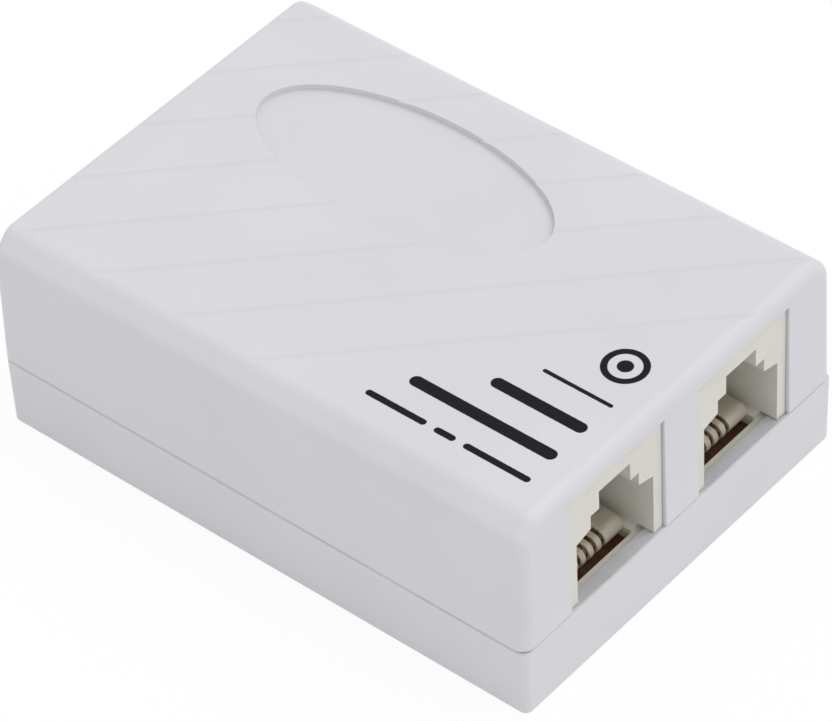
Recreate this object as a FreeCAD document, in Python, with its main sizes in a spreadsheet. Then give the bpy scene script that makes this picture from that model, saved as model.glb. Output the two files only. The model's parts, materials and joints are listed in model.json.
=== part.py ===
import FreeCAD, Part
import math
import os
import Sketcher
from types import SimpleNamespace

# A small two-shell line filter box: three modular jacks, a circuit board and the filter parts inside.
# Frame: +X points out of the end with two jacks, +Z up, origin at the middle of the underside.

Vector = FreeCAD.Vector
Rotation = FreeCAD.Rotation
Placement = FreeCAD.Placement

doc = FreeCAD.newDocument("LineFilter")
sheet = doc.addObject("Spreadsheet::Sheet", "Sizes")


class Size:
    """A number together with the spreadsheet formula that gives it."""

    def __init__(self, value, text):
        self.value = value
        self.text = text

    def __add__(self, other):
        other = as_size(other)
        return Size(self.value + other.value, "(%s + %s)" % (self.text, other.text))

    def __sub__(self, other):
        other = as_size(other)
        return Size(self.value - other.value, "(%s - %s)" % (self.text, other.text))

    def __mul__(self, other):
        other = as_size(other)
        return Size(self.value * other.value, "(%s * %s)" % (self.text, other.text))

    def __truediv__(self, other):
        other = as_size(other)
        return Size(self.value / other.value, "(%s / %s)" % (self.text, other.text))

    def __neg__(self):
        return Size(-self.value, "(-1 * %s)" % self.text)


def as_size(number):
    """A plain number as a Size, and a Size as it is."""
    if isinstance(number, Size):
        return number
    return Size(float(number), repr(float(number)))


# Driving dimensions in millimetres, angles in degrees
SIZES = {
    # Housing
    "seam_height": 7.1,
    "wall": 1.4,
    "roof": 1.5,
    "floor": 1.5,
    "draft_angle": 0.7,
    "shoulder_chamfer": 1.75,
    "shoulder_blend": 1.6,
    "port_edge_radius": 1.2,
    "far_edge_radius": 0.8,
    "base_bevel": 0.2,
    "base_corner_radius": 0.7,
    "seam_bevel": 0.17,
    "lap_height": 1.1,
    "lap_clearance": 0.1,
    # Ornament of the top: diagonal grooves and an oval recess
    "groove_depth": 0.18,
    "groove_ramp": 0.9,
    "groove_riser": 0.12,
    "groove_pitch": 6.05,
    "groove_count": 8,
    "first_groove": 12.1,
    "oval_length": 30.6,
    "oval_width": 14.0,
    "oval_depth": 0.6,
    "oval_along": -6.4,
    "oval_across": 7.0,
    # Modular jacks, six-position mouths
    "port_pitch": 16.6,
    "port_gap": 0.1,
    "jack_width": 12.1,
    "jack_height": 13.2,
    "jack_depth": 13.5,
    "jack_back": 1.7,
    "jack_headroom": 0.5,
    "jack_recess": 0.4,
    "jack_floor": 1.2,
    "jack_lip": 0.65,
    "lip_drop": 0.35,
    "mouth_width": 9.9,
    "mouth_height": 6.6,
    "step_width": 6.2,
    "step_height": 8.45,
    "notch_width": 4.0,
    "notch_height": 10.35,
    "mouth_slope": 0.45,
    "peg_width": 1.8,
    "peg_clearance": 0.1,
    # Contact carrier and contacts of each jack
    "carrier_width": 8.2,
    "carrier_thickness": 1.8,
    "carrier_height": 5.4,
    "carrier_clearance": 0.1,
    "carrier_lift": 0.35,
    "nose_setback": 3.4,
    "contact_count": 4,
    "contact_pitch": 1.02,
    "contact_width": 0.36,
    "contact_thickness": 0.3,
    "slot_clearance": 0.05,
    "slot_depth": 0.5,
    "contact_rise": 22,
    "contact_reach": 3.9,
    "tail_length": 1.3,
    "tail_setback": 8.4,
    "tail_stagger": 2.54,
    "tail_clearance": 0.15,
    # Circuit board
    "board_thickness": 1.6,
    "board_gap": 0.5,
    "post_width": 3.0,
    "post_margin": 1.5,
    # Fastening: two self-tapping screws from below
    "screw_inset": 4.6,
    "boss_wall": 0.35,
    "boss_gap": 0.1,
    "boss_clearance": 0.3,
    "shank_radius": 1.1,
    "shank_length": 9.0,
    "shank_clearance": 0.2,
    "thread_clearance": 0.02,
    "head_radius": 2.0,
    "head_height": 1.4,
    "head_clearance": 0.15,
    "head_sink": 0.3,
    # Coupled coils
    "coil_gap": 1.8,
    "coil_across": 8.4,
    "core_length": 13.0,
    "core_width": 12.6,
    "core_thickness": 4.8,
    "core_leg": 1.8,
    "core_middle": 3.6,
    "core_lift": 3.2,
    "spool_wall": 0.5,
    "spool_gap": 0.1,
    "flange_thickness": 0.6,
    "flange_height": 9.0,
    "winding_height": 7.8,
    "rail_width": 1.6,
    "pin_width": 0.6,
    "pin_spread": 7.6,
    # Capacitors and resistors
    "capacitor_margin": 1.6,
    "capacitor_gap": 3.2,
    "capacitor_post_gap": 0.85,
    "capacitor_length": 10.0,
    "capacitor_width": 4.5,
    "capacitor_height": 8.5,
    "capacitor_round": 0.5,
    "lead_radius": 0.3,
    "lead_spread": 7.5,
    "resistor_jack_gap": 1.8,
    "resistor_core_gap": 1.3,
    "resistor_across": 2.6,
    "resistor_length": 6.3,
    "resistor_radius": 1.15,
    "resistor_lift": 0.2,
    "resistor_spread": 9.0,
}

sizes = SimpleNamespace()
for row, (alias, number) in enumerate(SIZES.items(), start=1):
    sheet.set("A%d" % row, alias)
    sheet.set("B%d" % row, str(number))
    sheet.setAlias("B%d" % row, alias)
    setattr(sizes, alias, Size(float(number), "Sizes." + alias))


# The outer size follows what the box holds, from one end to the other and from the middle outwards
jack_reach = sizes.jack_recess + sizes.jack_depth
resistor_bay = sizes.resistor_spread + sizes.lead_radius * 2
coil_bay = sizes.core_length + sizes.spool_gap + sizes.rail_width
inner_gaps = sizes.resistor_jack_gap + sizes.resistor_core_gap + sizes.coil_gap
length = jack_reach * 2 + resistor_bay + coil_bay + inner_gaps
capacitor_across = sizes.jack_width / 2 + sizes.capacitor_gap + sizes.capacitor_width / 2
post_across = capacitor_across + sizes.capacitor_width / 2 + sizes.capacitor_post_gap + sizes.post_width / 2
cavity_half_width = post_across + sizes.post_width / 2 + sizes.post_margin
width = (cavity_half_width + sizes.wall) * 2
board_top = sizes.seam_height - sizes.jack_floor
height = board_top + sizes.jack_height + sizes.jack_headroom + sizes.roof

# Derived places
board_bottom = board_top - sizes.board_thickness
port_face = length / 2 - sizes.jack_recess
port_cut_width = sizes.jack_width + sizes.port_gap * 2
port_cut_top = board_top + sizes.jack_height + sizes.port_gap
roof_underside = height - sizes.roof
cavity_half_length = length / 2 - sizes.wall
mouth_depth = sizes.jack_depth - sizes.jack_back
capacitor_along = sizes.capacitor_margin + sizes.capacitor_length / 2 - cavity_half_length
resistor_along = jack_reach + sizes.resistor_jack_gap + resistor_bay / 2 - length / 2
coil_along = length / 2 - jack_reach - sizes.coil_gap - coil_bay + sizes.core_length / 2
screw_along = resistor_along
screw_across = width / 2 - sizes.screw_inset
boss_radius = sizes.head_radius + sizes.head_clearance + sizes.boss_wall
boss_meeting = sizes.seam_height
head_depth = sizes.head_height + sizes.head_sink
nose_radius = sizes.carrier_thickness / 2
nose_height = sizes.carrier_lift + nose_radius
bend_radius = nose_radius - sizes.slot_depth + sizes.contact_thickness / 2
slot_width = sizes.contact_width + sizes.slot_clearance * 2
core_middle_height = sizes.core_lift + sizes.core_thickness / 2


def bind(thing, prop, size):
    """Sets a property from a size and ties it to the spreadsheet."""
    size = as_size(size)
    thing.setExpression(prop, size.text)


def new_body(label):
    """A PartDesign body that carries one sub-part."""
    body = doc.addObject("PartDesign::Body", label)
    body.Label = label
    return body


def new_sketch(body, name, role, lift=None, turn=0):
    """A sketch on one of the body's own origin planes, lifted and turned about its upright."""
    sketch = body.newObject("Sketcher::SketchObject", name)
    plane = [item for item in body.Origin.OriginFeatures if item.Role == role][0]
    sketch.AttachmentSupport = [(plane, "")]
    sketch.MapMode = "FlatFace"
    sketch.AttachmentOffset = Placement(Vector(0, 0, 0), Rotation(Vector(0, 1, 0), turn))
    if lift is not None:
        sketch.setExpression("AttachmentOffset.Base.z", lift.text)
    return sketch


def fix_point(sketch, geometry, point, across, up):
    """Holds one sketch point at its two distances from the sketch's origin."""
    for kind, axis, size in (("DistanceX", -2, across), ("DistanceY", -1, up)):
        size = as_size(size)
        if abs(size.value) < 1e-9 and "Sizes" not in size.text:
            sketch.addConstraint(Sketcher.Constraint("PointOnObject", geometry, point, axis))
            continue
        index = sketch.addConstraint(Sketcher.Constraint(kind, -1, 1, geometry, point, size.value))
        sketch.setExpression("Constraints[%d]" % index, size.text)


def add_outline(sketch, points):
    """A closed outline of straight sides through points given as pairs of sizes."""
    first = sketch.GeometryCount
    places = [Vector(as_size(a).value, as_size(b).value, 0) for a, b in points]
    count = len(points)
    for index in range(count):
        sketch.addGeometry(Part.LineSegment(places[index], places[(index + 1) % count]), False)
    for index in range(count):
        follower = first + (index + 1) % count
        sketch.addConstraint(Sketcher.Constraint("Coincident", first + index, 2, follower, 1))
    for index, (across, up) in enumerate(points):
        fix_point(sketch, first + index, 1, across, up)


def add_rectangle(sketch, left, low, right, high):
    """A rectangle between four sizes."""
    add_outline(sketch, [(left, low), (right, low), (right, high), (left, high)])


def add_centred(sketch, wide, tall):
    """A rectangle about the sketch's origin."""
    add_rectangle(sketch, -(wide / 2), -(tall / 2), wide / 2, tall / 2)


def add_square(sketch, across, up, side):
    """A square about its centre."""
    half = side / 2
    add_rectangle(sketch, across - half, up - half, across + half, up + half)


def add_circle(sketch, across, up, radius):
    """A circle with its centre and radius tied to sizes."""
    centre = Vector(as_size(across).value, as_size(up).value, 0)
    index = sketch.addGeometry(Part.Circle(centre, Vector(0, 0, 1), radius.value), False)
    fix_point(sketch, index, 3, across, up)
    bound = sketch.addConstraint(Sketcher.Constraint("Radius", index, radius.value))
    sketch.setExpression("Constraints[%d]" % bound, radius.text)


def extrude(body, kind, name, sketch, depth, backward=False, middle=False, taper=None):
    """A Pad or Pocket of one sketch; the tip's volume has to change."""
    before = body.Shape.Volume if body.Tip else 0.0
    feature = body.newObject("PartDesign::" + kind, name)
    feature.Profile = sketch
    feature.Reversed = backward
    if middle:
        feature.SideType = "Symmetric"
    bind(feature, "Length", depth)
    if taper is not None:
        bind(feature, "TaperAngle", taper)
    doc.recompute()
    grown = body.Shape.Volume - before
    if kind == "Pad" and grown <= 1e-6 or kind == "Pocket" and grown >= -1e-6:
        raise RuntimeError("%s in %s changes nothing" % (name, body.Label))
    if not body.Shape.isValid():
        raise RuntimeError("%s in %s is unsound" % (name, body.Label))
    return feature


def pad(body, name, sketch, depth, **how):
    return extrude(body, "Pad", name, sketch, depth, **how)


def pocket(body, name, sketch, depth, **how):
    return extrude(body, "Pocket", name, sketch, depth, **how)


def round_edges(body, name, radius, wanted, kind="Fillet"):
    """Rounds or chamfers the tip's edges whose two ends and middle pass the test."""
    base = body.Tip
    names = []
    for number, edge in enumerate(base.Shape.Edges):
        if wanted(edge):
            names.append("Edge%d" % (number + 1))
    if not names:
        raise RuntimeError("%s in %s finds no edge" % (name, body.Label))
    feature = body.newObject("PartDesign::" + kind, name)
    feature.Base = (base, names)
    bind(feature, "Radius" if kind == "Fillet" else "Size", radius)
    doc.recompute()
    if not body.Shape.isValid():
        raise RuntimeError("%s in %s is unsound" % (name, body.Label))
    return feature


def middle_of(edge):
    """The point half way along an edge."""
    return edge.valueAt((edge.FirstParameter + edge.LastParameter) / 2)


def runs_along(edge, axis):
    """True where an edge is straight and points along an axis, give or take the draft."""
    if len(edge.Vertexes) != 2:
        return False
    start, end = [vertex.Point for vertex in edge.Vertexes]
    chord = (end - start).Length
    return edge.Length < chord * 1.001 and abs((end - start).dot(axis)) > chord * 0.99


def lowest(edge):
    return min(vertex.Point.z for vertex in edge.Vertexes)


def highest(edge):
    return max(vertex.Point.z for vertex in edge.Vertexes)


def place(thing, along, across, up, turn=0):
    """Puts a finished sub-part in the box frame, turned about the upright."""
    thing.Placement = Placement(Vector(0, 0, 0), Rotation(Vector(0, 0, 1), turn))
    for prop, size in (("x", along), ("y", across), ("z", up)):
        bind(thing, "Placement.Base." + prop, size)


def slope_sides(body, name, held):
    """Gives the tip's upright sides their draft, narrowing away from the face that is held."""
    base = body.Tip
    sides = []
    for number, face in enumerate(base.Shape.Faces):
        lean = face.normalAt(0, 0).z
        if abs(lean) < 0.5:
            sides.append("Face%d" % (number + 1))
        elif lean * held > 0.5:
            neutral = "Face%d" % (number + 1)
    feature = body.newObject("PartDesign::Draft", name)
    feature.Base = (base, sides)
    feature.NeutralPlane = (base, [neutral])
    feature.Reversed = held > 0
    bind(feature, "Angle", sizes.draft_angle)
    doc.recompute()
    if body.Shape.Volume >= base.Shape.Volume:
        raise RuntimeError("%s in %s widens the block" % (name, body.Label))
    return feature


def round_end(body, name, sign, radius):
    """Rounds the rim of one end face all the way round: both corners and the top between them."""
    def on_end(edge):
        spots = [vertex.Point.x for vertex in edge.Vertexes] + [middle_of(edge).x]
        reach = (length / 2 - sizes.wall / 2).value
        return min(sign * spot for spot in spots) > reach and highest(edge) > sizes.seam_height.value + 1
    return round_edges(body, name, radius, on_end)


def port_openings(body, name, sign, places):
    """The cut-outs for jacks through one end wall, open towards the seam."""
    face = length / 2 if sign > 0 else -(length / 2)
    sketch = new_sketch(body, name + "Sketch", "YZ_Plane", lift=face)
    for across in places:
        half = port_cut_width / 2
        add_rectangle(sketch, across - half, sizes.seam_height - sizes.wall, across + half, port_cut_top)
    pocket(body, name, sketch, sizes.wall * 2, backward=sign < 0)


def build_upper_housing():
    """The deep shell: drafted walls, broad shoulders, grooves and oval on top, hollow below."""
    body = new_body("upper_housing")
    plan = new_sketch(body, "UpperPlan", "XY_Plane", lift=sizes.seam_height)
    add_centred(plan, length, width)
    pad(body, "UpperBlock", plan, height - sizes.seam_height)
    slope_sides(body, "UpperDraft", -1)

    along = Vector(1, 0, 0)

    def long_top(edge):
        return runs_along(edge, along) and lowest(edge) > (height - sizes.shoulder_chamfer).value

    round_edges(body, "Shoulders", sizes.shoulder_chamfer, long_top, kind="Chamfer")

    def shoulder_rims(edge):
        return runs_along(edge, along) and lowest(edge) > (height - sizes.shoulder_chamfer * 2).value

    round_edges(body, "ShoulderBlend", sizes.shoulder_blend, shoulder_rims)
    round_end(body, "PortEndRim", 1, sizes.port_edge_radius)
    round_end(body, "FarEndRim", -1, sizes.far_edge_radius)

    def seam_rim(edge):
        return highest(edge) < (sizes.seam_height + sizes.wall).value

    round_edges(body, "UpperSeamBevel", sizes.seam_bevel, seam_rim, kind="Chamfer")

    cavity = new_sketch(body, "CavityPlan", "XY_Plane", lift=sizes.seam_height)
    add_centred(cavity, cavity_half_length * 2, cavity_half_width * 2)
    depth = roof_underside - sizes.seam_height
    pocket(body, "Cavity", cavity, depth, backward=True, taper=-sizes.draft_angle)

    rebate = new_sketch(body, "RebatePlan", "XY_Plane", lift=sizes.seam_height)
    add_centred(rebate, length - sizes.wall, width - sizes.wall)
    pocket(body, "LapRebate", rebate, sizes.lap_height + sizes.lap_clearance, backward=True)

    port_openings(body, "PortOpenings", 1, [-(sizes.port_pitch / 2), sizes.port_pitch / 2])
    port_openings(body, "LineOpening", -1, [as_size(0)])

    bosses = new_sketch(body, "UpperBossPlan", "XY_Plane", lift=boss_meeting + sizes.boss_gap)
    for side in (-1, 1):
        add_circle(bosses, screw_along, screw_across * side, boss_radius)
    pad(body, "UpperBosses", bosses, roof_underside - boss_meeting - sizes.boss_gap + sizes.roof / 4)

    pilots = new_sketch(body, "PilotPlan", "XY_Plane", lift=boss_meeting + sizes.boss_gap)
    for side in (-1, 1):
        add_circle(pilots, screw_along, screw_across * side,
                   sizes.shank_radius + sizes.thread_clearance)
    pocket(body, "PilotHoles", pilots, sizes.shank_length, backward=True)

    stops = new_sketch(body, "JackStopPlan", "XY_Plane", lift=board_top + sizes.jack_height / 2)
    behind = port_face - sizes.jack_depth - sizes.port_gap
    reach = sizes.port_pitch - sizes.port_gap
    add_rectangle(stops, behind - sizes.wall, -reach, behind, reach)
    add_rectangle(stops, -behind, -(sizes.jack_width / 2), -behind + sizes.wall, sizes.jack_width / 2)
    pad(body, "JackStops", stops, roof_underside - board_top - sizes.jack_height / 2 + sizes.roof / 4)

    oval = new_sketch(body, "OvalPlan", "XY_Plane", lift=height)
    centre = Vector(sizes.oval_along.value, sizes.oval_across.value, 0)
    far_point = centre + Vector(sizes.oval_length.value / 2, 0, 0)
    side_point = centre + Vector(0, sizes.oval_width.value / 2, 0)
    ellipse = oval.addGeometry(Part.Ellipse(far_point, side_point, centre), False)
    oval.exposeInternalGeometry(ellipse)
    fix_point(oval, ellipse, 3, sizes.oval_along, sizes.oval_across)
    oval.addConstraint(Sketcher.Constraint("Horizontal", ellipse + 1))
    for offset, size in ((1, sizes.oval_length), (2, sizes.oval_width)):
        index = oval.addConstraint(Sketcher.Constraint("Distance", ellipse + offset, size.value))
        oval.setExpression("Constraints[%d]" % index, size.text)
    pocket(body, "OvalRecess", oval, sizes.oval_depth)

    groove = new_sketch(body, "GrooveSection", "XZ_Plane", turn=-45)
    add_outline(groove, [
        (sizes.first_groove, height - sizes.groove_depth),
        (sizes.first_groove + sizes.groove_ramp * 2, height + sizes.groove_depth),
        (sizes.first_groove - sizes.groove_riser * 2, height + sizes.groove_depth),
    ])
    cut = pocket(body, "Groove", groove, length * 2, middle=True)
    pattern = body.newObject("PartDesign::LinearPattern", "Grooves")
    pattern.Originals = [cut]
    pattern.Direction = (groove, ["H_Axis"])
    pattern.Reversed = True
    bind(pattern, "Length", sizes.groove_pitch * (sizes.groove_count - 1))
    bind(pattern, "Occurrences", sizes.groove_count)
    body.Tip = pattern
    doc.recompute()
    return body


def build_lower_housing():
    """The shallow shell: floor, walls with a lap ring, board posts and screw wells."""
    body = new_body("lower_housing")
    plan = new_sketch(body, "LowerPlan", "XY_Plane", lift=sizes.seam_height)
    add_centred(plan, length, width)
    pad(body, "LowerBlock", plan, sizes.seam_height, backward=True)
    slope_sides(body, "LowerDraft", 1)

    def corner(sign):
        def wanted(edge):
            upright = highest(edge) - lowest(edge) > sizes.seam_height.value / 2
            return upright and sign * middle_of(edge).x > 0
        return wanted

    def base_rim(edge):
        return highest(edge) < sizes.floor.value / 2

    def seam_rim(edge):
        return lowest(edge) > (sizes.seam_height - sizes.wall).value

    round_edges(body, "PortCorners", sizes.base_corner_radius, corner(1))
    round_edges(body, "FarCorners", sizes.far_edge_radius, corner(-1))
    round_edges(body, "BaseBevel", sizes.base_bevel, base_rim, kind="Chamfer")
    round_edges(body, "LowerSeamBevel", sizes.seam_bevel, seam_rim, kind="Chamfer")

    cavity = new_sketch(body, "LowerCavityPlan", "XY_Plane", lift=sizes.seam_height)
    add_centred(cavity, cavity_half_length * 2, cavity_half_width * 2)
    pocket(body, "LowerCavity", cavity, sizes.seam_height - sizes.floor)

    ring = new_sketch(body, "LapPlan", "XY_Plane", lift=sizes.seam_height - sizes.wall)
    inset = sizes.wall + sizes.lap_clearance * 2
    add_centred(ring, length - inset, width - inset)
    add_centred(ring, cavity_half_length * 2, cavity_half_width * 2)
    pad(body, "LapRing", ring, sizes.lap_height + sizes.wall)

    gaps = new_sketch(body, "LapGapPlan", "YZ_Plane", lift=length / 2)
    reach = port_cut_width / 2 + sizes.port_gap
    gap_top = sizes.seam_height + sizes.lap_height * 2
    for across in (-(sizes.port_pitch / 2), sizes.port_pitch / 2):
        add_rectangle(gaps, across - reach, sizes.seam_height, across + reach, gap_top)
    pocket(body, "LapGaps", gaps, sizes.wall * 2)

    far_gap = new_sketch(body, "FarLapGapPlan", "YZ_Plane", lift=-(length / 2))
    add_rectangle(far_gap, -reach, sizes.seam_height, reach, gap_top)
    pocket(body, "FarLapGap", far_gap, sizes.wall * 2, backward=True)

    posts = new_sketch(body, "PostPlan", "XY_Plane", lift=sizes.floor / 2)
    for end in (-1, 1):
        for side in (-1, 1):
            along = cavity_half_length - sizes.post_width / 2 - sizes.post_margin
            add_square(posts, along * end, post_across * side, sizes.post_width)
    pad(body, "BoardPosts", posts, board_bottom - sizes.floor / 2)

    bosses = new_sketch(body, "LowerBossPlan", "XY_Plane", lift=sizes.floor / 2)
    for side in (-1, 1):
        add_circle(bosses, screw_along, screw_across * side, boss_radius)
    pad(body, "LowerBosses", bosses, boss_meeting - sizes.floor / 2)

    wells = new_sketch(body, "HeadWellPlan", "XY_Plane")
    holes = new_sketch(body, "ShankHolePlan", "XY_Plane")
    for side in (-1, 1):
        across = screw_across * side
        add_circle(wells, screw_along, across, sizes.head_radius + sizes.head_clearance)
        add_circle(holes, screw_along, across, sizes.shank_radius + sizes.shank_clearance)
    pocket(body, "HeadWells", wells, head_depth, backward=True)
    pocket(body, "ShankHoles", holes, boss_meeting * 2, backward=True)
    return body


def build_circuit_board():
    """The board, notched round the screw bosses and pierced for every tail, peg, pin and lead."""
    body = new_body("circuit_board")
    plan = new_sketch(body, "BoardPlan", "XY_Plane", lift=board_bottom)
    add_centred(plan, (cavity_half_length - sizes.board_gap) * 2, (cavity_half_width - sizes.board_gap) * 2)
    pad(body, "Board", plan, sizes.board_thickness)

    notches = new_sketch(body, "BoardNotchPlan", "XY_Plane", lift=board_top)
    reach = boss_radius + sizes.boss_clearance
    for side in (-1, 1):
        inner = (screw_across - reach) * side
        outer = width / 2 * side
        add_rectangle(notches, screw_along - reach, inner, screw_along + reach, outer)
    pocket(body, "BoardNotches", notches, sizes.board_thickness)

    holes = new_sketch(body, "BoardHolePlan", "XY_Plane", lift=board_top)
    for face, across, sign in jack_places():
        for along_hole, across_hole in contact_tails():
            add_square(holes, face + along_hole * sign, across + across_hole * sign,
                       sizes.contact_width + sizes.tail_clearance * 2)
        for along_peg, across_peg in peg_places():
            add_square(holes, face + along_peg * sign, across + across_peg * sign,
                       sizes.peg_width + sizes.peg_clearance * 2)
    for across in coil_sides():
        for along_pin, across_pin in coil_pins():
            add_square(holes, coil_along + along_pin, across + across_pin,
                       sizes.pin_width + sizes.tail_clearance * 2)
    for along, across, spread in lead_places():
        for end in (-1, 1):
            add_square(holes, along + spread * end / 2, across,
                       (sizes.lead_radius + sizes.tail_clearance) * 2)
    pocket(body, "BoardHoles", holes, sizes.board_thickness)
    return body


def jack_places():
    """Face position, sideways position and outward sign of the three jacks."""
    return [
        (port_face, -(sizes.port_pitch / 2), 1),
        (port_face, sizes.port_pitch / 2, 1),
        (-port_face, as_size(0), -1),
    ]


def contact_tails():
    """Solder tails of one jack in its own frame, in two staggered rows."""
    tails = []
    for index in range(int(sizes.contact_count.value)):
        across = sizes.contact_pitch * (as_size(index) - (sizes.contact_count - 1) / 2)
        tails.append((-(sizes.tail_setback + sizes.tail_stagger * (index % 2)), across))
    return tails


def peg_places():
    """Locating pegs of one jack in its own frame."""
    across = sizes.jack_width / 2 - sizes.peg_width / 2
    return [(-(sizes.jack_depth / 3), across * side) for side in (-1, 1)]


def coil_sides():
    return [-sizes.coil_across, sizes.coil_across]


def coil_pins():
    """Pins of one coil in its own frame."""
    along = (sizes.core_length + sizes.rail_width + sizes.spool_gap * 2) / 2
    across = sizes.pin_spread / 2
    return [(along * end, across * side) for end in (-1, 1) for side in (-1, 1)]


def lead_places():
    """Centre and lead spread of the capacitors and resistors."""
    return [
        (capacitor_along, -capacitor_across, sizes.lead_spread),
        (capacitor_along, capacitor_across, sizes.lead_spread),
        (resistor_along, -sizes.resistor_across, sizes.resistor_spread),
        (resistor_along, sizes.resistor_across, sizes.resistor_spread),
    ]


def build_jack(prefix, face, across, sign):
    """One jack body: a block with a stepped mouth, a front rebate, a carrier slot and pegs."""
    body = new_body(prefix + "_jack_body")
    side = new_sketch(body, prefix + "JackPlan", "XY_Plane")
    add_rectangle(side, -sizes.jack_depth, -(sizes.jack_width / 2), as_size(0), sizes.jack_width / 2)
    pad(body, prefix + "JackBlock", side, sizes.jack_height)

    rebate = new_sketch(body, prefix + "RebateSide", "XZ_Plane")
    inner_wall = -(sizes.wall + sizes.port_gap - sizes.jack_recess)
    add_rectangle(rebate, inner_wall, -sizes.jack_floor, as_size(0), sizes.jack_floor + sizes.port_gap)
    pocket(body, prefix + "SeamRebate", rebate, sizes.jack_width * 2, middle=True)

    lip = new_sketch(body, prefix + "LipSide", "XZ_Plane")
    lip_back = inner_wall - sizes.jack_lip
    lip_top = sizes.jack_floor - sizes.lip_drop
    add_rectangle(lip, lip_back, lip_top, inner_wall / 2, sizes.jack_floor + sizes.port_gap)
    pocket(body, prefix + "LipStep", lip, sizes.jack_width * 2, middle=True)

    mouth = new_sketch(body, prefix + "MouthOutline", "YZ_Plane")
    half = sizes.mouth_width / 2
    step = sizes.step_width / 2
    notch = sizes.notch_width / 2
    base = sizes.jack_floor
    add_outline(mouth, [
        (-half, base),
        (half, base),
        (half, base + sizes.mouth_height),
        (step, base + sizes.mouth_height + sizes.mouth_slope),
        (step, base + sizes.step_height),
        (notch, base + sizes.step_height),
        (notch, base + sizes.notch_height),
        (-notch, base + sizes.notch_height),
        (-notch, base + sizes.step_height),
        (-step, base + sizes.step_height),
        (-step, base + sizes.mouth_height + sizes.mouth_slope),
        (-half, base + sizes.mouth_height),
    ])
    pocket(body, prefix + "Mouth", mouth, mouth_depth)

    slot = new_sketch(body, prefix + "CarrierSlotPlan", "XY_Plane")
    slot_half = sizes.carrier_width / 2
    add_rectangle(slot, -(sizes.jack_depth * 2), -slot_half, lip_back, slot_half)
    pocket(body, prefix + "CarrierSlot", slot, sizes.jack_floor, backward=True)

    window = new_sketch(body, prefix + "RearWindow", "YZ_Plane", lift=-sizes.jack_depth)
    add_rectangle(window, -slot_half, as_size(0), slot_half, sizes.carrier_height + sizes.carrier_clearance)
    pocket(body, prefix + "CarrierWindow", window, sizes.jack_depth - mouth_depth, backward=True)

    pegs = new_sketch(body, prefix + "PegPlan", "XY_Plane")
    for along_peg, across_peg in peg_places():
        add_square(pegs, along_peg, across_peg, sizes.peg_width)
    pad(body, prefix + "Pegs", pegs, sizes.board_thickness, backward=True)
    place(body, face, across, board_top, turn=0 if sign > 0 else 180)
    return body


def build_carrier(prefix, face, across, sign):
    """The contact carrier: a plate with a rounded, slotted nose and a rear block."""
    body = new_body(prefix + "_contact_carrier")
    plate = new_sketch(body, prefix + "PlateSide", "XZ_Plane")
    rear = -sizes.jack_depth
    add_outline(plate, [
        (rear, sizes.carrier_lift),
        (-(sizes.nose_setback - nose_radius), sizes.carrier_lift),
        (-(sizes.nose_setback - nose_radius), sizes.carrier_lift + sizes.carrier_thickness),
        (-(mouth_depth + sizes.carrier_clearance), sizes.carrier_lift + sizes.carrier_thickness),
        (-(mouth_depth + sizes.carrier_clearance), sizes.carrier_height),
        (rear, sizes.carrier_height),
    ])
    pad(body, prefix + "Plate", plate, sizes.carrier_width, middle=True)

    def nose(edge):
        return runs_along(edge, Vector(0, 1, 0)) and middle_of(edge).x > -sizes.nose_setback.value

    round_edges(body, prefix + "Nose", nose_radius * 0.98, nose)

    first_wire = sizes.contact_pitch * ((sizes.contact_count - 1) / 2)
    channel = new_sketch(body, prefix + "ChannelSide", "XZ_Plane", lift=first_wire)
    under = sizes.carrier_lift + sizes.slot_depth
    over = sizes.carrier_lift + sizes.carrier_thickness - sizes.slot_depth
    core = nose_radius - sizes.slot_depth
    above = sizes.carrier_lift + sizes.carrier_thickness + sizes.slot_depth
    behind = -(sizes.nose_setback + sizes.slot_depth * 3)
    add_outline(channel, [
        (rear * 2, sizes.carrier_lift - sizes.slot_depth),
        (as_size(0), sizes.carrier_lift - sizes.slot_depth),
        (as_size(0), above),
        (behind, above),
        (behind, over),
        (-sizes.nose_setback, over),
        (-sizes.nose_setback + core * 0.7, nose_height + core * 0.7),
        (-sizes.nose_setback + core, nose_height),
        (-sizes.nose_setback + core * 0.7, nose_height - core * 0.7),
        (-sizes.nose_setback, under),
        (rear * 2, under),
    ])
    cut = pocket(body, prefix + "Channel", channel, slot_width, middle=True)
    pattern = body.newObject("PartDesign::LinearPattern", prefix + "Channels")
    pattern.Originals = [cut]
    pattern.Direction = (channel, ["N_Axis"])
    pattern.Reversed = True
    bind(pattern, "Length", sizes.contact_pitch * (sizes.contact_count - 1))
    bind(pattern, "Occurrences", sizes.contact_count)
    body.Tip = pattern
    doc.recompute()
    place(body, face, across, board_top, turn=0 if sign > 0 else 180)
    return body


def contact_path(tail):
    """Centre line of one contact in the jack frame: tail, floor run, nose bend, rising spring."""
    low = nose_height.value - bend_radius.value
    nose = -sizes.nose_setback.value
    rise = math.radians(sizes.contact_rise.value)
    foot = Vector(tail, 0, -sizes.board_thickness.value - sizes.tail_length.value)
    knee = Vector(tail, 0, low)
    bend_start = Vector(nose, 0, low)

    def on_bend(angle):
        return Vector(nose + bend_radius.value * math.sin(angle), 0,
                      nose_height.value - bend_radius.value * math.cos(angle))

    sweep = math.pi - rise
    bend_end = on_bend(sweep)
    tip = bend_end + Vector(-math.cos(rise), 0, math.sin(rise)) * sizes.contact_reach.value
    edges = [
        Part.LineSegment(foot, knee).toShape(),
        Part.LineSegment(knee, bend_start).toShape(),
        Part.Arc(bend_start, on_bend(sweep / 2), bend_end).toShape(),
        Part.LineSegment(bend_end, tip).toShape(),
    ]
    return Part.Wire(edges)


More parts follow.
